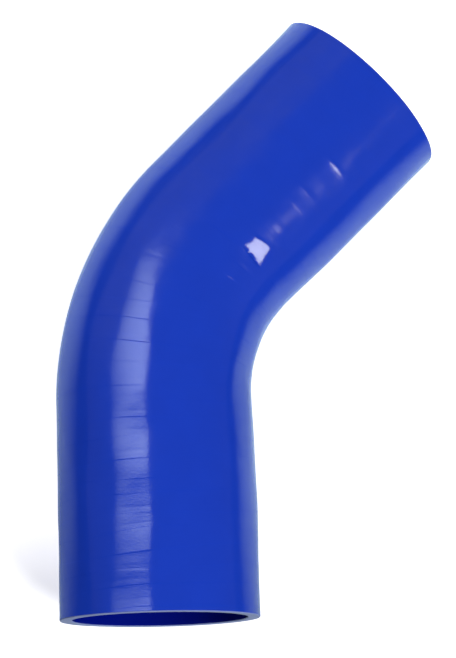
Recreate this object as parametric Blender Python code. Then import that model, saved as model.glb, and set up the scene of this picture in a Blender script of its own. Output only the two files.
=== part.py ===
"""Silicone elbow hose: a 45 degree coupling hose, wrapped and cured in one piece over a bent mandrel.

Metres, +Z up. The hose lies on its side with its bend flat on the ground. The lower leg runs along Y and
its mouth faces -Y; the bend turns towards +X, and the mouth of the upper leg faces between +X and +Y.
The origin is on the ground, under the middle of the hose.
"""

from math import cos, pi, radians, sin, tan

import bmesh
import bpy
from mathutils import Vector

# Bore and wall
BORE_DIAMETER = 0.057
WALL = 0.0042

# Each leg is measured on the centre lines, from its mouth to where the two lines would cross
LOWER_LEG = 0.105
UPPER_LEG = 0.101
BEND_RADIUS = 0.081
BEND_ANGLE = radians(45.0)

# The mandrel is a bent pipe, so the throat of the bend is drawn in, and less so to both sides of it
THROAT_PINCH = 0.0015
THROAT_PINCH_REACH = 0.075

# Each mouth relaxes outwards a little once the hose is trimmed
MOUTH_FLARE = 0.0002
MOUTH_FLARE_LENGTH = 0.012

# The knife leaves the edges of each mouth just broken
CUT_EDGE = 0.0003

# The spiral step that each turn of the cure tape presses into the outer skin
TAPE_PITCH = 0.006
TAPE_STEP = 0.0002
TAPE_STEP_WIDTH = 0.0007

# Blue silicone rubber, linear colour
SKIN_COLOUR = (0.012, 0.043, 0.46, 1.0)
SKIN_ROUGHNESS = 0.34

# Fineness of the mesh
SEGMENTS = 48
FLARE_STEPS = 2
STRAIGHT_STEPS = 3
BEND_STEPS = 10
SAME_POINT = 0.00002
SHARP_ANGLE = radians(32.0)

BORE_RADIUS = BORE_DIAMETER / 2
OUTER_RADIUS = BORE_RADIUS + WALL
BEND_TANGENT = BEND_RADIUS * tan(BEND_ANGLE / 2)
BEND_START = LOWER_LEG - BEND_TANGENT
BEND_END = BEND_START + BEND_RADIUS * BEND_ANGLE
RUN_LENGTH = BEND_END + UPPER_LEG - BEND_TANGENT


def clear_scene():
    for old in list(bpy.data.objects):
        bpy.data.objects.remove(old)


def silicone():
    """Satin blue silicone rubber."""
    material = bpy.data.materials.new("blue_silicone")
    material.use_nodes = True
    shader = material.node_tree.nodes["Principled BSDF"]
    shader.inputs["Base Color"].default_value = SKIN_COLOUR
    shader.inputs["Roughness"].default_value = SKIN_ROUGHNESS
    shader.inputs["Metallic"].default_value = 0.0
    return material


def evenly(start, end, steps):
    """Evenly spaced values after start, up to and including end."""
    return [start + (end - start) * step / steps for step in range(1, steps + 1)]


def bore_stations():
    """Distances from the lower mouth at which the bore has a ring of points."""
    stations = [CUT_EDGE]
    stations += evenly(CUT_EDGE, MOUTH_FLARE_LENGTH, FLARE_STEPS)
    stations += evenly(MOUTH_FLARE_LENGTH, BEND_START, STRAIGHT_STEPS)
    stations += evenly(BEND_START, BEND_END, BEND_STEPS)
    stations += evenly(BEND_END, RUN_LENGTH - MOUTH_FLARE_LENGTH, STRAIGHT_STEPS)
    stations += evenly(RUN_LENGTH - MOUTH_FLARE_LENGTH, RUN_LENGTH - CUT_EDGE, FLARE_STEPS)
    return stations


def next_ring(mesh, rim, rise, outwards=0.0):
    """Extrudes a rim by one ring, so far along the tube and so far outwards, and gives the new rim."""
    grown = bmesh.ops.extrude_edge_only(mesh, edges=rim)["geom"]
    points = {item for item in grown if isinstance(item, bmesh.types.BMVert)}
    for point in points:
        radius = point.co.xy.length
        point.co.xy *= (radius + outwards) / radius
        point.co.z += rise
    return [item for item in grown if isinstance(item, bmesh.types.BMEdge) and points.issuperset(item.verts)]


def straight_bore(mesh):
    """The inside of the tube while it is still straight, ring by ring along Z."""
    stations = bore_stations()
    bmesh.ops.create_circle(mesh, radius=BORE_RADIUS, segments=SEGMENTS, cap_ends=False)
    bmesh.ops.translate(mesh, verts=mesh.verts[:], vec=(0.0, 0.0, stations[0]))
    rim = mesh.edges[:]
    for before, after in zip(stations, stations[1:]):
        rim = next_ring(mesh, rim, after - before)


def straight_skin(mesh):
    """The outside of the straight tube: a spiral of tape steps, trimmed square near each mouth."""
    profile = (
        (OUTER_RADIUS, 0.0),
        (OUTER_RADIUS + TAPE_STEP, TAPE_STEP_WIDTH),
        (OUTER_RADIUS, TAPE_PITCH),
    )
    turns = int(RUN_LENGTH / TAPE_PITCH) + 3
    rise = TAPE_PITCH / SEGMENTS
    points = [mesh.verts.new((radius, 0.0, height - TAPE_PITCH)) for radius, height in profile]
    lines = [mesh.edges.new(pair) for pair in zip(points, points[1:])]
    bmesh.ops.spin(
        mesh,
        geom=points + lines,
        cent=(0.0, 0.0, 0.0),
        axis=(0.0, 0.0, 1.0),
        dvec=(0.0, 0.0, rise),
        angle=2 * pi * turns,
        steps=SEGMENTS * turns,
    )
    bmesh.ops.remove_doubles(mesh, verts=mesh.verts[:], dist=SAME_POINT)
    for height, outside in ((CUT_EDGE, -1.0), (RUN_LENGTH - CUT_EDGE, 1.0)):
        # A point of the spiral within this reach moves onto the cut, which leaves no sliver beside it
        bmesh.ops.bisect_plane(
            mesh,
            geom=mesh.verts[:] + mesh.edges[:] + mesh.faces[:],
            dist=rise * 0.55,
            plane_co=(0.0, 0.0, height),
            plane_no=(0.0, 0.0, outside),
            use_snap_center=True,
            clear_outer=True,
        )


def rim_at(mesh, height):
    """The open edges at a height of the straight tube."""
    return [
        edge
        for edge in mesh.edges
        if edge.is_boundary and all(abs(point.co.z - height) < SAME_POINT for point in edge.verts)
    ]


def straight_tube():
    """The whole wall while the tube is still straight, with a cut face and broken edges at each mouth."""
    mesh = bmesh.new()
    straight_bore(mesh)
    bore = bpy.data.meshes.new("bore")
    mesh.to_mesh(bore)
    mesh.clear()
    straight_skin(mesh)
    skin_rims = [rim_at(mesh, height) for height in (CUT_EDGE, RUN_LENGTH - CUT_EDGE)]
    mesh.from_mesh(bore)
    bpy.data.meshes.remove(bore)
    rims = [rim_at(mesh, height) for height in (CUT_EDGE, RUN_LENGTH - CUT_EDGE)]
    for skin_rim, both_rims, rise in zip(skin_rims, rims, (-CUT_EDGE, CUT_EDGE)):
        bore_rim = [edge for edge in both_rims if edge not in skin_rim]
        skin_lip = next_ring(mesh, skin_rim, rise, -CUT_EDGE)
        bore_lip = next_ring(mesh, bore_rim, rise, CUT_EDGE)
        bmesh.ops.bridge_loops(mesh, edges=skin_lip + bore_lip)
    return mesh


def centre_and_heel(along):
    """The point on the centre line that far from the lower mouth, and the way to the heel from there."""
    turned = min(max((along - BEND_START) / BEND_RADIUS, 0.0), BEND_ANGLE)
    heel = Vector((-cos(turned), sin(turned), 0.0))
    onwards = Vector((sin(turned), cos(turned), 0.0))
    outside_bend = min(along - BEND_START, 0.0) + max(along - BEND_END, 0.0)
    bend_centre = Vector((BEND_RADIUS, BEND_START, 0.0))
    return bend_centre + heel * BEND_RADIUS + onwards * outside_bend, heel


def wall_shift(along, towards_heel):
    """How far the wall stands outwards at a place: the flare of a mouth, less the pinch of the throat."""
    from_mouth = min(along, RUN_LENGTH - along)
    flare = MOUTH_FLARE * max(1.0 - from_mouth / MOUTH_FLARE_LENGTH, 0.0) ** 2
    from_middle = abs(along - (BEND_START + BEND_END) / 2)
    fading = cos(pi / 2 * min(from_middle / THROAT_PINCH_REACH, 1.0)) ** 2
    facing_throat = max(-towards_heel, 0.0) ** 2
    return flare - THROAT_PINCH * fading * facing_throat


def bent(point):
    """Carries a point of the straight tube to its place on the bent one."""
    along = point.z
    radius = point.xy.length
    towards_heel = point.x / radius
    upwards = point.y / radius
    radius += wall_shift(along, towards_heel)
    centre, heel = centre_and_heel(along)
    return centre + heel * radius * towards_heel + Vector((0.0, 0.0, radius * upwards))


def face_outwards(mesh):
    """Turns every face of the closed wall outwards, which gives it a volume above zero."""
    bmesh.ops.recalc_face_normals(mesh, faces=mesh.faces[:])
    if mesh.calc_volume(signed=True) < 0.0:
        bmesh.ops.reverse_faces(mesh, faces=mesh.faces[:])


def set_on_ground(mesh):
    """Moves the hose so that the origin is on the ground, under the middle of its box."""
    places = [point.co for point in mesh.verts]
    lowest = Vector([min(place[axis] for place in places) for axis in range(3)])
    highest = Vector([max(place[axis] for place in places) for axis in range(3)])
    middle = (lowest + highest) / 2
    bmesh.ops.translate(mesh, verts=mesh.verts[:], vec=(-middle.x, -middle.y, -lowest.z))


def elbow_hose():
    mesh = straight_tube()
    for point in mesh.verts:
        point.co = bent(point.co)
    face_outwards(mesh)
    set_on_ground(mesh)
    data = bpy.data.meshes.new("elbow_hose")
    mesh.to_mesh(data)
    mesh.free()
    data.shade_smooth()
    data.set_sharp_from_angle(angle=SHARP_ANGLE)
    data.materials.append(silicone())
    hose = bpy.data.objects.new("elbow_hose", data)
    bpy.context.scene.collection.objects.link(hose)


clear_scene()
elbow_hose()
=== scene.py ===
"""Silicone elbow hose, dressed: a blue coupling hose with a 45 degree bend, on a white studio floor."""

from math import atan2, cos, exp, pi, radians, sin, tan

import bmesh
import bpy
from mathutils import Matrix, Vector, noise


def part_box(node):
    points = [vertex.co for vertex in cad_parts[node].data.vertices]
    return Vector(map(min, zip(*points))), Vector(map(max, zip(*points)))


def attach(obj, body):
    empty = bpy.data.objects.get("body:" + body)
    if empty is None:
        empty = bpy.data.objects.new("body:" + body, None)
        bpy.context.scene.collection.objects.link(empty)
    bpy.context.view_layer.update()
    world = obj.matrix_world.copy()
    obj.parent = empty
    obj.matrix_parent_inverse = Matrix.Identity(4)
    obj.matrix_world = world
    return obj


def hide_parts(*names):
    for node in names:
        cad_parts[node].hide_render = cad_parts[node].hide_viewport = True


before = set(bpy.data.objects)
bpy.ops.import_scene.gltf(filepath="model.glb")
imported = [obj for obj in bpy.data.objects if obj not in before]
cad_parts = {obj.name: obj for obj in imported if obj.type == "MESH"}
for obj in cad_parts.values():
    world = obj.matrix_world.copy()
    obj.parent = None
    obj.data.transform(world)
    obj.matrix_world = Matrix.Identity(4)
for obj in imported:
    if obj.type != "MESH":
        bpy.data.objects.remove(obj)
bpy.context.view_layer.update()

# Camera
# A long lens about a metre above the hose, looking down on it and a little from the lower mouth's side,
# so that the bore just shows.

CAMERA_PLACE = (-0.1170, -0.1810, 1.0662)
CAMERA_TURN = (radians(9.824), radians(-5.884), radians(-1.410))
CAMERA_LENS = 173.65
CAMERA_SENSOR = 36.0

camera_data = bpy.data.cameras.new("camera")
camera_data.lens = CAMERA_LENS
camera_data.sensor_width = CAMERA_SENSOR
camera = bpy.data.objects.new("camera", camera_data)
camera.location = CAMERA_PLACE
camera.rotation_euler = CAMERA_TURN
bpy.context.scene.collection.objects.link(camera)
bpy.context.scene.camera = camera

# Hose wall
# The hose is one piece of silicone rubber, wrapped in plies over a bent steel mandrel and cured. Its wall
# is made here as a straight tube and carried round the bend afterwards, the way a maker would lay it out.

BORE_RADIUS = 0.0285
WALL = 0.0042
OUTER_RADIUS = BORE_RADIUS + WALL

# Each leg is measured on the centre lines, from its mouth to where the two lines would cross
LOWER_LEG = 0.105
UPPER_LEG = 0.101
BEND_RADIUS = 0.081
BEND_ANGLE = radians(45.0)
BEND_TANGENT = BEND_RADIUS * tan(BEND_ANGLE / 2)
BEND_START = LOWER_LEG - BEND_TANGENT
BEND_END = BEND_START + BEND_RADIUS * BEND_ANGLE
RUN_LENGTH = BEND_END + UPPER_LEG - BEND_TANGENT

# The throat is drawn in round the mandrel, and each mouth relaxes outwards a little once it is cut
THROAT_PINCH = 0.0015
THROAT_PINCH_REACH = 0.075
MOUTH_FLARE = 0.0002
MOUTH_FLARE_LENGTH = 0.012

# The knife leaves the edges of each mouth just broken
CUT_EDGE = 0.0003

# Fineness of the mesh: points round the hose, rings along the bore, and how near two points are one
SEGMENTS = 192
BORE_RINGS = 30
SAME_POINT = 0.00002


def next_ring(mesh, rim, rise, outwards=0.0):
    """Extrudes a rim by one ring, so far along the tube and so far outwards, and gives the new rim."""
    grown = bmesh.ops.extrude_edge_only(mesh, edges=rim)["geom"]
    points = {item for item in grown if isinstance(item, bmesh.types.BMVert)}
    for point in points:
        radius = point.co.xy.length
        point.co.xy *= (radius + outwards) / radius
        point.co.z += rise
    return [item for item in grown if isinstance(item, bmesh.types.BMEdge) and points.issuperset(item.verts)]


def straight_bore(mesh):
    """The inside of the wall, ring by ring, from one cut to the other."""
    bmesh.ops.create_circle(mesh, radius=BORE_RADIUS, segments=SEGMENTS, cap_ends=False)
    bmesh.ops.translate(mesh, verts=mesh.verts[:], vec=(0.0, 0.0, CUT_EDGE))
    rim = mesh.edges[:]
    for ring in range(BORE_RINGS):
        rim = next_ring(mesh, rim, (RUN_LENGTH - 2 * CUT_EDGE) / BORE_RINGS)


# Tape marks
# The hose is cured under a narrow nylon tape that is wound round it in a spiral and peeled off again.
# Each turn leaves the faint step of its edge in the skin, and where the tape creased or lay flat, so does
# the skin.

TAPE_PITCH = 0.006
TAPE_WANDER = 0.0026

# The spiral is wound with turns to spare at both ends, which the knife takes off
SPARE_TURNS = 4
SPARE_TURNS_BELOW = 2

# A point this near the knife's plane moves onto it, which leaves no sliver beside the cut
CUT_SNAP = 0.00004

# The step that the tape's edge presses in, and the least share of it that is left anywhere
EDGE_START = 0.00012
EDGE_WIDTH = 0.00016
EDGE_HEIGHT = 0.000006
FAINTEST_EDGE = 0.05

# Each turn is pressed in to its own depth, and its middle stretch leans a little one way or the other
TURN_DEPTH = 0.000028
TURN_TILT = radians(0.22)
TILT_HALF = 0.0027
TILT_SOFT = 0.0006

# The crease that the tape leaves beside its edge
CREASE_PLACE = 0.0021
CREASE_WIDTH = 0.00025
CREASE_DEPTH = 0.000009

# Along its edge the tape leaves a line of fine wrinkles, which mirrors less than the rest
SEAM_PLACE = 0.00020
SEAM_HALF = 0.00009

# Heights within one turn at which the skin has a line of points: close together at the tape's edge and
# at the crease beside it, where the skin turns sharply
TURN_LINES = (
    0.0,
    EDGE_START,
    SEAM_PLACE,
    EDGE_START + EDGE_WIDTH,
    0.0004,
    0.0010,
    0.0018,
    CREASE_PLACE,
    0.0024,
    0.0036,
    0.0048,
    TAPE_PITCH,
)

# Past these distances from the lower mouth the turns no longer lean, and further on leave hardly a mark
TILTED_UNTIL = 0.116
TILTED_SOFT = 0.012
MARKED_UNTIL = 0.146
MARKED_SOFT = 0.050

# Slow unevenness of the skin, from the plies below and from the pull of the tape. The whole skin is set
# in a little, so that its swells stay inside the solid's box.
SWELL_HEIGHT = 0.00025
DIMPLE_HEIGHT = 0.000026
SKIN_INSET = 0.00002

# How strong each mark is on the whole, and how much that varies from place to place
EDGE_STRENGTH = 0.80
EDGE_VARIES = 0.75
CREASE_STRENGTH = 0.45
CREASE_VARIES = 1.3
SEAM_STRENGTH = 0.75
SEAM_VARIES = 0.9

# Smooth noise sets what varies: the size of its patches round the hose and along it, and its seed
WANDER_NOISE = (0.040, 0.010, 61.0)
EDGE_NOISE = (0.030, 0.0048, 3.0)
CREASE_NOISE = (0.020, 0.0045, 11.0)
SEAM_NOISE = (0.020, 0.0045, 17.0)
TILT_NOISE = (0.025, 0.0060, 83.0)
SWELL_NOISE = (0.011, 0.018, 29.0)
DIMPLE_NOISE = (0.0055, 0.0055, 47.0)

# The noise of a turn's depth has patches of this size round the hose, and steps this far with each turn
DEPTH_SIZE = 0.013
DEPTH_STEP = 1.37
DEPTH_SEED = 5.0

# Creases of the tape that stand up across the top of the upper leg and the end of the bend: how far along
# the hose and how far round from the heel, then length, width and height
FOLDS = (
    (0.1706, radians(111), 0.0042, 0.0008, 0.00013),
    (0.1575, radians(113), 0.0040, 0.0008, 0.00004),
    (0.1430, radians(114), 0.0040, 0.0008, 0.00006),
    (0.1240, radians(118), 0.0035, 0.0008, 0.00006),
)

# The one place where the tape lay flat and tilted, at the end of the bend: its middle, half its width
# and how much that grows round the hose, the notch in its rim, its tilt, and the softness of its rim
FLAT_ALONG = 0.1320
FLAT_AROUND = radians(116)
FLAT_HALF = 0.0040
FLAT_WIDENING = 0.17
FLAT_NOTCH = 0.0012
FLAT_NOTCH_HALF = 0.0024
FLAT_TILT = radians(4.2)
FLAT_SOFT = 0.0008


def scaled_noise(place, around_size, along_size, seed):
    """Noise from -1 to 1 on the straight tube, with features so large around it and along it."""
    onwards = place.z / along_size + seed
    return noise.noise(Vector((place.x / around_size, place.y / around_size, onwards)))


def bump(distance, width):
    """A smooth rise and fall, 1 in the middle."""
    return exp(-((distance / width) ** 2))


def inside(distance, half, soft):
    """1 well inside a width, 0 outside it, and a slope in between."""
    reach = min(max((half + soft / 2 - abs(distance)) / soft, 0.0), 1.0)
    return reach * reach * (3.0 - 2.0 * reach)


def turn_depth(place, turned, turn):
    """How far one turn of the tape lets the skin stand out, which differs from turn to turn."""
    along_tape = turn + turned
    onwards = along_tape * DEPTH_STEP + DEPTH_SEED
    return TURN_DEPTH * noise.noise(Vector((place.x / DEPTH_SIZE, place.y / DEPTH_SIZE, onwards)))


def tape_marks(place, turned, wound):
    """The step from one turn of the tape to the next, a turn's depth and tilt, and the crease beside it."""
    within = wound % TAPE_PITCH
    from_middle = within - TAPE_PITCH / 2
    past_edge = (within - EDGE_START) % TAPE_PITCH
    turn = (wound - EDGE_START) // TAPE_PITCH
    if past_edge < EDGE_WIDTH:
        step = past_edge / EDGE_WIDTH
    else:
        step = (TAPE_PITCH - past_edge) / (TAPE_PITCH - EDGE_WIDTH)
    marked = inside(place.z, MARKED_UNTIL, MARKED_SOFT)
    strength = marked * (EDGE_STRENGTH + EDGE_VARIES * scaled_noise(place, *EDGE_NOISE))
    creasing = marked * (CREASE_STRENGTH + CREASE_VARIES * scaled_noise(place, *CREASE_NOISE))
    onto_turn = min(past_edge / EDGE_WIDTH, 1.0)
    depth = turn_depth(place, turned, turn - 1) * (1.0 - onto_turn)
    depth += turn_depth(place, turned, turn) * onto_turn
    relief = EDGE_HEIGHT * max(strength, FAINTEST_EDGE) * step + marked * depth
    tilt = TURN_TILT * scaled_noise(place, *TILT_NOISE) * inside(place.z, TILTED_UNTIL, TILTED_SOFT)
    relief += tan(tilt) * from_middle * inside(from_middle, TILT_HALF, TILT_SOFT)
    return relief - CREASE_DEPTH * max(creasing, 0.0) * bump(within - CREASE_PLACE, CREASE_WIDTH)


def flat_spot(along, arc):
    """The flat: the round of the skin is taken down to its chord, and leans towards the lower leg."""
    notch = FLAT_NOTCH * max(1.0 - abs(along) / FLAT_NOTCH_HALF, 0.0)
    share = inside(along, FLAT_HALF + FLAT_WIDENING * arc, FLAT_SOFT)
    share *= inside(arc - notch / 2, FLAT_HALF - notch / 2, FLAT_SOFT)
    to_chord = -(FLAT_HALF**2 - arc**2) / (2 * OUTER_RADIUS)
    return share * (to_chord + along * tan(FLAT_TILT))


def skin_relief(place, wound):
    """How far the skin stands out or in at a place on the straight tube."""
    around = atan2(place.y, place.x)
    relief = tape_marks(place, around / (2 * pi), wound)
    relief += SWELL_HEIGHT * scaled_noise(place, *SWELL_NOISE)
    relief += DIMPLE_HEIGHT * scaled_noise(place, *DIMPLE_NOISE)
    for along, turned, length, width, height in FOLDS:
        arc = (around - turned) * OUTER_RADIUS
        relief += height * bump(place.z - along, width) * bump(arc, length)
    relief += flat_spot(place.z - FLAT_ALONG, (around - FLAT_AROUND) * OUTER_RADIUS)
    return relief


def one_turn(mesh):
    """One turn of the spiral skin, smooth, with a line of points at each height of a turn."""
    points = [mesh.verts.new((OUTER_RADIUS, 0.0, height)) for height in TURN_LINES]
    lines = [mesh.edges.new(pair) for pair in zip(points, points[1:])]
    bmesh.ops.spin(
        mesh,
        geom=points + lines,
        cent=(0.0, 0.0, 0.0),
        axis=(0.0, 0.0, 1.0),
        dvec=(0.0, 0.0, TAPE_PITCH / SEGMENTS),
        angle=2 * pi,
        steps=SEGMENTS,
    )


def spiral_skin(mesh):
    """All turns of the skin, from below the lower mouth to beyond the upper one."""
    one_turn(mesh)
    first_turn = mesh.verts[:] + mesh.edges[:] + mesh.faces[:]
    turns = int(RUN_LENGTH / TAPE_PITCH) + SPARE_TURNS
    for turn in range(1, turns):
        copied = bmesh.ops.duplicate(mesh, geom=first_turn)["geom"]
        copied_points = [item for item in copied if isinstance(item, bmesh.types.BMVert)]
        bmesh.ops.translate(mesh, verts=copied_points, vec=(0.0, 0.0, turn * TAPE_PITCH))
    bmesh.ops.remove_doubles(mesh, verts=mesh.verts[:], dist=SAME_POINT)
    bmesh.ops.translate(mesh, verts=mesh.verts[:], vec=(0.0, 0.0, -SPARE_TURNS_BELOW * TAPE_PITCH))


def mark_skin(mesh):
    """Gives every point of the skin its relief, and lets the lines of the tape wander along the hose."""
    seam = mesh.verts.layers.float.new("seam")
    for point in mesh.verts:
        place = point.co.copy()
        turned = atan2(place.y, place.x) / (2 * pi)
        # SAME_POINT is added so that a point on a turn's first line never counts with the turn before
        wound = place.z - turned * TAPE_PITCH + SAME_POINT
        place.z += TAPE_WANDER * scaled_noise(place, *WANDER_NOISE)
        if abs(wound % TAPE_PITCH - SEAM_PLACE) < SEAM_HALF + SAME_POINT:
            wrinkled = SEAM_STRENGTH + SEAM_VARIES * scaled_noise(place, *SEAM_NOISE)
            point[seam] = min(max(wrinkled, 0.0), 1.0)
        grown = 1.0 + (skin_relief(place, wound) - SKIN_INSET) / OUTER_RADIUS
        point.co = (place.x * grown, place.y * grown, place.z)


def cut_square(mesh):
    """The knife's two cuts, one at each mouth."""
    for height, outside in ((CUT_EDGE, -1.0), (RUN_LENGTH - CUT_EDGE, 1.0)):
        bmesh.ops.bisect_plane(
            mesh,
            geom=mesh.verts[:] + mesh.edges[:] + mesh.faces[:],
            dist=CUT_SNAP,
            plane_co=(0.0, 0.0, height),
            plane_no=(0.0, 0.0, outside),
            use_snap_center=True,
            clear_outer=True,
        )


def rim_at(mesh, height):
    """The open edges at a height of the straight tube."""
    return [
        edge
        for edge in mesh.edges
        if edge.is_boundary and all(abs(point.co.z - height) < SAME_POINT for point in edge.verts)
    ]


def straight_tube():
    """The whole straight wall, with a cut face and broken edges at each mouth."""
    mesh = bmesh.new()
    straight_bore(mesh)
    bore = bpy.data.meshes.new("bore")
    mesh.to_mesh(bore)
    mesh.clear()
    spiral_skin(mesh)
    mark_skin(mesh)
    cut_square(mesh)
    skin_rims = [rim_at(mesh, height) for height in (CUT_EDGE, RUN_LENGTH - CUT_EDGE)]
    mesh.from_mesh(bore)
    bpy.data.meshes.remove(bore)
    rims = [rim_at(mesh, height) for height in (CUT_EDGE, RUN_LENGTH - CUT_EDGE)]
    for skin_rim, both_rims, rise in zip(skin_rims, rims, (-CUT_EDGE, CUT_EDGE)):
        on_skin = set(skin_rim)
        bore_rim = [edge for edge in both_rims if edge not in on_skin]
        skin_lip = next_ring(mesh, skin_rim, rise, -CUT_EDGE)
        bore_lip = next_ring(mesh, bore_rim, rise, CUT_EDGE)
        bmesh.ops.bridge_loops(mesh, edges=skin_lip + bore_lip)
    return mesh


# Bend
# The mandrel gives the hose its 45 degree bend. Every point of the straight tube is carried to its place
# round the bend, and each keeps a note of where it was, so that the finish can follow the hose.


def centre_and_heel(along):
    """The point on the centre line that far from the lower mouth, and the way to the heel from there."""
    turned = min(max((along - BEND_START) / BEND_RADIUS, 0.0), BEND_ANGLE)
    heel = Vector((-cos(turned), sin(turned), 0.0))
    onwards = Vector((sin(turned), cos(turned), 0.0))
    outside_bend = min(along - BEND_START, 0.0) + max(along - BEND_END, 0.0)
    return Vector((BEND_RADIUS, BEND_START, 0.0)) + heel * BEND_RADIUS + onwards * outside_bend, heel


def wall_shift(along, towards_heel):
    """How far the wall stands outwards at a place: the flare of a mouth, less the pinch of the throat."""
    from_mouth = min(along, RUN_LENGTH - along)
    flare = MOUTH_FLARE * max(1.0 - from_mouth / MOUTH_FLARE_LENGTH, 0.0) ** 2
    from_middle = abs(along - (BEND_START + BEND_END) / 2)
    fading = cos(pi / 2 * min(from_middle / THROAT_PINCH_REACH, 1.0)) ** 2
    return flare - THROAT_PINCH * fading * max(-towards_heel, 0.0) ** 2


def bent(place):
    """Carries a place on the straight tube to the bent one."""
    radius = place.xy.length
    towards_heel = place.x / radius
    upwards = place.y / radius
    radius += wall_shift(place.z, towards_heel)
    centre, heel = centre_and_heel(place.z)
    return centre + heel * radius * towards_heel + Vector((0.0, 0.0, radius * upwards))


def bend(mesh):
    """Bends the tube, and notes each point's straight place and whether it is on a cut or in the bore."""
    straight_place = mesh.verts.layers.float_vector.new("straight_place")
    cut = mesh.verts.layers.float.new("cut")
    bore = mesh.verts.layers.float.new("bore")
    for point in mesh.verts:
        point[straight_place] = point.co
        point[bore] = 1.0 if point.co.xy.length < BORE_RADIUS + CUT_EDGE / 2 else 0.0
        point[cut] = 1.0 if min(point.co.z, RUN_LENGTH - point.co.z) < CUT_EDGE / 2 else 0.0
        point.co = bent(point.co)


def face_outwards(mesh):
    """Turns every face of the closed wall outwards, which gives it a volume above zero."""
    bmesh.ops.recalc_face_normals(mesh, faces=mesh.faces[:])
    if mesh.calc_volume(signed=True) < 0.0:
        bmesh.ops.reverse_faces(mesh, faces=mesh.faces[:])


def fit_to(mesh, corners):
    """Moves the hose so that the middle of its box is the middle of the box with these two corners."""
    wanted = [(Vector(corners[0])[axis] + Vector(corners[1])[axis]) / 2 for axis in range(3)]
    places = [point.co for point in mesh.verts]
    middle = [(min(p[axis] for p in places) + max(p[axis] for p in places)) / 2 for axis in range(3)]
    bmesh.ops.translate(mesh, verts=mesh.verts[:], vec=Vector(wanted) - Vector(middle))


# Only the edges of the cuts are sharper than this
SHARP_ANGLE = radians(32.0)

wall = straight_tube()
bend(wall)
face_outwards(wall)
fit_to(wall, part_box("elbow_hose"))
hose_data = bpy.data.meshes.new("silicone_hose")
wall.to_mesh(hose_data)
wall.free()
hose_data.shade_smooth()
hose_data.set_sharp_from_angle(angle=SHARP_ANGLE)
hose = bpy.data.objects.new("silicone_hose", hose_data)
bpy.context.scene.collection.objects.link(hose)

# Silicone finish
# Cured silicone rubber, a deep blue right through. The tape leaves it smooth with a satin gloss, faintly
# uneven in colour and gloss, and the knife leaves its cut faces paler and dull. The bore is painted a
# darker blue than the skin, as painted shade inside the tube.

SKIN_BLUE = "#153CBF"
SKIN_BLUE_DARK = "#1338B5"
CUT_BLUE = "#98A6D2"
# The bore's darker blue is painted shade for the inside of the tube
BORE_SHADE_BLUE = "#021182"
SILICONE_IOR = 1.43

# Roughness of the skin at its glossiest and its dullest, and of a cut
GLOSSY_ROUGHNESS = 0.11
SATIN_ROUGHNESS = 0.17
CUT_ROUGHNESS = 0.6

# How much the plain skin mirrors, and how much the fine wrinkles of a seam do
SKIN_MIRRORS = 0.5
SEAM_MIRRORS = 0.22

# Clouds of colour come from the plies and are 11 mm across, and patches of gloss come from the pull of
# the tape and are 4.5 mm across
CLOUD_SIZE = 0.011
GLOSS_SIZE = 0.0045

# Most of a noise texture lies between these two values
NOISE_LOW = 0.3
NOISE_HIGH = 0.7

# The weave of the nylon tape, about 0.3 mm, is too fine to show, so its imprint is drawn coarser
IMPRINT_SIZE = 0.0007
IMPRINT_DEPTH = 0.000012


def linear(hex_colour):
    """The linear colour of an sRGB hex value."""
    channels = [int(hex_colour[place : place + 2], 16) / 255 for place in (1, 3, 5)]
    return (*[c / 12.92 if c <= 0.04045 else ((c + 0.055) / 1.055) ** 2.4 for c in channels], 1.0)


def add(tree, kind, inputs=None, **settings):
    """Adds a node with its settings. An input takes a value, or another node's output.

    Inputs that share a name go by their place: a Mix node has its share at 0, numbers at 2 and 3, and
    colours at 6 and 7.
    """
    added = tree.nodes.new(kind)
    for name, value in settings.items():
        setattr(added, name, value)
    for name, value in (inputs or {}).items():
        if isinstance(value, bpy.types.NodeSocket):
            tree.links.new(value, added.inputs[name])
        else:
            added.inputs[name].default_value = value
    return added


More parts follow.
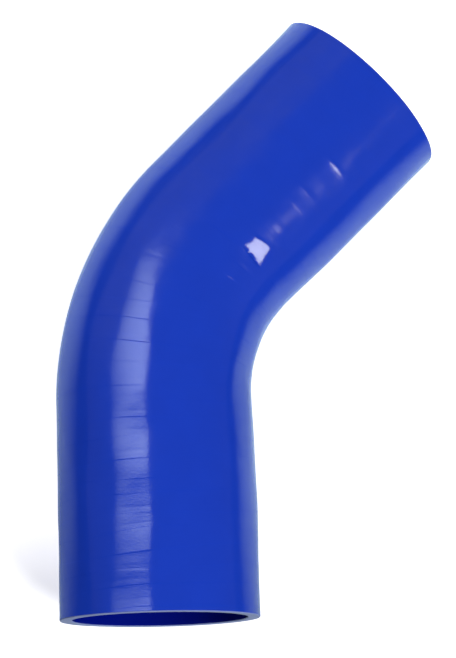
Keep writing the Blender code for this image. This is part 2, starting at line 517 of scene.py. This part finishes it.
def cured_silicone():
    """Satin silicone with clouds of colour and gloss along the hose, dull cut faces and painted shade in the
    bore.
    """
    material = bpy.data.materials.new("cured_silicone")
    material.use_nodes = True
    tree = material.node_tree
    shader = tree.nodes["Principled BSDF"]
    place = add(tree, "ShaderNodeAttribute", attribute_name="straight_place").outputs["Vector"]
    cut = add(tree, "ShaderNodeAttribute", attribute_name="cut").outputs["Fac"]
    bore = add(tree, "ShaderNodeAttribute", attribute_name="bore").outputs["Fac"]
    clouds = add(
        tree,
        "ShaderNodeTexNoise",
        {"Vector": place, "Scale": 1 / CLOUD_SIZE, "Detail": 3.0, "Roughness": 0.55},
    )
    skin = add(
        tree,
        "ShaderNodeMix",
        {0: clouds.outputs["Fac"], 6: linear(SKIN_BLUE_DARK), 7: linear(SKIN_BLUE)},
        data_type="RGBA",
    )
    # The bore takes its darker blue, which is painted shade inside the tube
    with_bore_shade = add(
        tree, "ShaderNodeMix", {0: bore, 6: skin.outputs[2], 7: linear(BORE_SHADE_BLUE)}, data_type="RGBA"
    )
    colour = add(
        tree, "ShaderNodeMix", {0: cut, 6: with_bore_shade.outputs[2], 7: linear(CUT_BLUE)}, data_type="RGBA"
    )
    gloss = add(tree, "ShaderNodeTexNoise", {"Vector": place, "Scale": 1 / GLOSS_SIZE, "Detail": 2.0})
    satin = add(
        tree,
        "ShaderNodeMapRange",
        {
            "Value": gloss.outputs["Fac"],
            "From Min": NOISE_LOW,
            "From Max": NOISE_HIGH,
            "To Min": GLOSSY_ROUGHNESS,
            "To Max": SATIN_ROUGHNESS,
        },
    )
    seam = add(tree, "ShaderNodeAttribute", attribute_name="seam").outputs["Fac"]
    mirroring = add(tree, "ShaderNodeMix", {0: seam, 2: SKIN_MIRRORS, 3: SEAM_MIRRORS}, data_type="FLOAT")
    roughness = add(
        tree, "ShaderNodeMix", {0: cut, 2: satin.outputs["Result"], 3: CUT_ROUGHNESS}, data_type="FLOAT"
    )
    imprint = add(tree, "ShaderNodeTexNoise", {"Vector": place, "Scale": 1 / IMPRINT_SIZE, "Detail": 1.0})
    relief = add(
        tree,
        "ShaderNodeBump",
        {"Height": imprint.outputs["Fac"], "Strength": 1.0, "Distance": IMPRINT_DEPTH},
    )
    tree.links.new(colour.outputs[2], shader.inputs["Base Color"])
    tree.links.new(roughness.outputs[0], shader.inputs["Roughness"])
    tree.links.new(mirroring.outputs[0], shader.inputs["Specular IOR Level"])
    tree.links.new(relief.outputs["Normal"], shader.inputs["Normal"])
    shader.inputs["IOR"].default_value = SILICONE_IOR
    shader.inputs["Metallic"].default_value = 0.0
    return material


hose_data.materials.append(cured_silicone())
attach(hose, "root")
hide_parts("elbow_hose")

# Floor
# White card lies under the hose on a grey table. The camera sees both lifted to plain white, and less so
# beside the lower mouth, where the hose's soft shadow shows. The skin mirrors the pale card close by and
# the darker table further off.

FLOOR_SIZE = 12.0
CARD_WHITE = "#D2EDF7"
TABLE_GREY = "#404448"
PLAIN_WHITE = (1.0, 1.0, 1.0, 1.0)

# The card gives way to the table between these distances from its middle
CARD_MIDDLE = (0.02, 0.08, 0.0)
CARD_NEAR = 0.13
CARD_FAR = 0.25

# The card's own glow, where the camera sees it and where the skin mirrors it
SEEN_GLOW = 0.63
MIRRORED_GLOW = 0.28

# Round the lower mouth's corner the glow is less, and it grows to its full strength over these distances
SEEN_GLOW_AT_MOUTH = 0.39
MOUTH_CORNER = (-0.0670, -0.0920, 0.0)
MOUTH_NEAR = 0.008
MOUTH_FAR = 0.026


def white_card():
    """White card on a grey table: plain to the light that it passes on, and white where it is seen."""
    material = bpy.data.materials.new("white_card")
    material.use_nodes = True
    tree = material.node_tree
    tree.nodes.remove(tree.nodes["Principled BSDF"])
    place = add(tree, "ShaderNodeTexCoord").outputs["Object"]
    from_middle = add(tree, "ShaderNodeVectorMath", {0: place, 1: CARD_MIDDLE}, operation="DISTANCE")
    table = add(
        tree,
        "ShaderNodeMapRange",
        {"Value": from_middle.outputs["Value"], "From Min": CARD_NEAR, "From Max": CARD_FAR},
    )
    card = add(
        tree,
        "ShaderNodeMix",
        {0: table.outputs["Result"], 6: linear(CARD_WHITE), 7: linear(TABLE_GREY)},
        data_type="RGBA",
    )
    rays = add(tree, "ShaderNodeLightPath")
    seen = rays.outputs["Is Camera Ray"]
    mirrored = add(
        tree,
        "ShaderNodeMath",
        {0: rays.outputs["Is Glossy Ray"], 1: rays.outputs["Is Transmission Ray"]},
        operation="MAXIMUM",
    )
    colour = add(tree, "ShaderNodeMix", {0: seen, 6: card.outputs[2], 7: PLAIN_WHITE}, data_type="RGBA")
    card_glow = add(
        tree, "ShaderNodeMix", {0: table.outputs["Result"], 2: MIRRORED_GLOW, 3: 0.0}, data_type="FLOAT"
    )
    mirrored_glow = add(
        tree, "ShaderNodeMath", {0: mirrored.outputs[0], 1: card_glow.outputs[0]}, operation="MULTIPLY"
    )
    from_mouth = add(tree, "ShaderNodeVectorMath", {0: place, 1: MOUTH_CORNER}, operation="DISTANCE")
    seen_glow = add(
        tree,
        "ShaderNodeMapRange",
        {
            "Value": from_mouth.outputs["Value"],
            "From Min": MOUTH_NEAR,
            "From Max": MOUTH_FAR,
            "To Min": SEEN_GLOW_AT_MOUTH,
            "To Max": SEEN_GLOW,
        },
    )
    lift = add(
        tree,
        "ShaderNodeMix",
        {0: seen, 2: mirrored_glow.outputs[0], 3: seen_glow.outputs["Result"]},
        data_type="FLOAT",
    )
    matt = add(tree, "ShaderNodeBsdfDiffuse", {"Color": colour.outputs[2]})
    glow = add(tree, "ShaderNodeEmission", {"Color": colour.outputs[2], "Strength": lift.outputs[0]})
    surface = add(tree, "ShaderNodeAddShader", {0: matt.outputs[0], 1: glow.outputs[0]})
    tree.links.new(surface.outputs[0], tree.nodes["Material Output"].inputs["Surface"])
    return material


def flat_sheet(name, corners, material):
    """A flat piece of the studio, through corners given in order."""
    sheet = bmesh.new()
    sheet.faces.new([sheet.verts.new(corner) for corner in corners])
    data = bpy.data.meshes.new(name)
    sheet.to_mesh(data)
    sheet.free()
    data.materials.append(material)
    made = bpy.data.objects.new(name, data)
    bpy.context.scene.collection.objects.link(made)
    return made


half_floor = FLOOR_SIZE / 2
flat_sheet(
    "floor",
    [(x * half_floor, y * half_floor, 0.0) for x, y in ((-1, -1), (1, -1), (1, 1), (-1, 1))],
    white_card(),
)

# Studio light
# A bright round lamp lights the hose from the side of the throat, and a wide, soft window, which the skin
# doesn't mirror, from the side of the heel. A long diffuser panel hangs high on the heel's side and shows
# only in the skin, as the long highlight.

KEY_TOWARDS = radians(-48.5)
KEY_OFF_ZENITH = radians(47.2)
KEY_DISTANCE = 2.0
KEY_SIZE = 0.92
KEY_LIGHT = 0.85
WINDOW_TOWARDS = radians(130.0)
WINDOW_OFF_ZENITH = radians(64.0)
WINDOW_DISTANCE = 1.1
WINDOW_SIZE = 1.30
WINDOW_LIGHT = 0.93


def way_to(towards, off_zenith):
    """The way to something that stands so far round from +X and so far down from straight above."""
    return Vector((sin(off_zenith) * cos(towards), sin(off_zenith) * sin(towards), cos(off_zenith)))


def lamp(name, towards, off_zenith, distance, size, brightness):
    """A round soft lamp that faces the hose and would light a white card facing it to that brightness."""
    data = bpy.data.lights.new(name, "AREA")
    data.shape = "DISK"
    data.size = size
    data.energy = brightness * pi**2 * distance**2
    made = bpy.data.objects.new(name, data)
    way = way_to(towards, off_zenith)
    made.location = way * distance
    made.rotation_euler = way.to_track_quat("Z", "Y").to_euler()
    bpy.context.scene.collection.objects.link(made)
    return made


lamp("key_lamp", KEY_TOWARDS, KEY_OFF_ZENITH, KEY_DISTANCE, KEY_SIZE, KEY_LIGHT)
window = lamp("window", WINDOW_TOWARDS, WINDOW_OFF_ZENITH, WINDOW_DISTANCE, WINDOW_SIZE, WINDOW_LIGHT)
window.visible_glossy = False

# The glow rises from the panel's near edge to PANEL_FULL, and falls from its inner edge to its outer one.
# Past PANEL_STRAIGHT_UNTIL the inner edge turns outwards at the corners given, so that the highlight turns
# with the bend and runs out along the upper leg.
PANEL_HEIGHT = 3.0
PANEL_INNER = -0.80
PANEL_OUTER = -4.8
PANEL_NEAR = 0.08
PANEL_FULL = 0.60
PANEL_FAR = 4.18
PANEL_STRAIGHT_UNTIL = 0.58
PANEL_CORNERS = ((-1.20, 0.88), (-1.30, 1.16), (-2.10, 2.08))
PANEL_LIGHT = 8.9
PANEL_TINT = "#E8F6FF"


def diffuser():
    """The panel's glow: full at its inner edge, fading outwards, and soft along its near edge."""
    material = bpy.data.materials.new("diffuser")
    material.use_nodes = True
    tree = material.node_tree
    tree.nodes.remove(tree.nodes["Principled BSDF"])
    place = add(tree, "ShaderNodeTexCoord").outputs["Object"]
    axes = add(tree, "ShaderNodeSeparateXYZ", {0: place})
    inwards = add(
        tree,
        "ShaderNodeMapRange",
        {
            "Value": axes.outputs["X"],
            "From Min": PANEL_OUTER,
            "From Max": PANEL_INNER,
            "To Max": PANEL_LIGHT,
        },
    )
    lengthways = add(
        tree,
        "ShaderNodeMapRange",
        {"Value": axes.outputs["Y"], "From Min": PANEL_NEAR, "From Max": PANEL_FULL},
        interpolation_type="SMOOTHSTEP",
    )
    strength = add(
        tree,
        "ShaderNodeMath",
        {0: inwards.outputs["Result"], 1: lengthways.outputs["Result"]},
        operation="MULTIPLY",
    )
    glow = add(tree, "ShaderNodeEmission", {"Color": linear(PANEL_TINT), "Strength": strength.outputs[0]})
    tree.links.new(glow.outputs[0], tree.nodes["Material Output"].inputs["Surface"])
    return material


panel_outline = (
    (PANEL_INNER, PANEL_NEAR),
    (PANEL_INNER, PANEL_STRAIGHT_UNTIL),
    *PANEL_CORNERS,
    (PANEL_OUTER, PANEL_FAR),
    (PANEL_OUTER, PANEL_NEAR),
)
panel = flat_sheet(
    "diffuser_panel",
    [(x, y, PANEL_HEIGHT) for x, y in reversed(panel_outline)],
    diffuser(),
)
panel.visible_camera = False
panel.visible_diffuse = False
panel.visible_shadow = False

# Room
# The studio is dim and even all round, a shade darker overhead, with a paler wall at each end. The skin
# mirrors it most along the hose's two edges, which gives them their pale bands.

ROOM_LOW = 0.18
ROOM_HIGH = 0.16
ROOM_TURNS_DIM = 0.12
PALE_WALL_TOWARDS = radians(138.0)
PALE_WALL_OFF_ZENITH = radians(90.0)
PALE_WALL_EDGE = radians(48.0)
PALE_WALL_FULL = radians(14.0)
PALE_WALL_LIGHT = 0.07

world = bpy.data.worlds.new("room")
world.use_nodes = True
bpy.context.scene.world = world
room = world.node_tree
way = add(room, "ShaderNodeTexCoord").outputs["Generated"]
height = add(room, "ShaderNodeSeparateXYZ", {0: way}).outputs["Z"]
ambient = add(
    room,
    "ShaderNodeMapRange",
    {
        "Value": height,
        "From Min": 0.0,
        "From Max": ROOM_TURNS_DIM,
        "To Min": ROOM_LOW,
        "To Max": ROOM_HIGH,
    },
    interpolation_type="SMOOTHSTEP",
)
wall_way = way_to(PALE_WALL_TOWARDS, PALE_WALL_OFF_ZENITH)
along_room = add(room, "ShaderNodeVectorMath", {0: way, 1: wall_way}, operation="DOT_PRODUCT")
facing_wall = add(room, "ShaderNodeMath", {0: along_room.outputs["Value"]}, operation="ABSOLUTE")
pale_wall = add(
    room,
    "ShaderNodeMapRange",
    {
        "Value": facing_wall.outputs[0],
        "From Min": cos(PALE_WALL_EDGE),
        "From Max": cos(PALE_WALL_FULL),
        "To Max": PALE_WALL_LIGHT,
    },
    interpolation_type="SMOOTHSTEP",
)
light = add(
    room,
    "ShaderNodeMath",
    {0: ambient.outputs["Result"], 1: pale_wall.outputs["Result"]},
    operation="ADD",
)
room.links.new(light.outputs[0], room.nodes["Background"].inputs["Strength"])
room.nodes["Background"].inputs["Color"].default_value = PLAIN_WHITE

bpy.context.scene.view_settings.view_transform = "Standard"
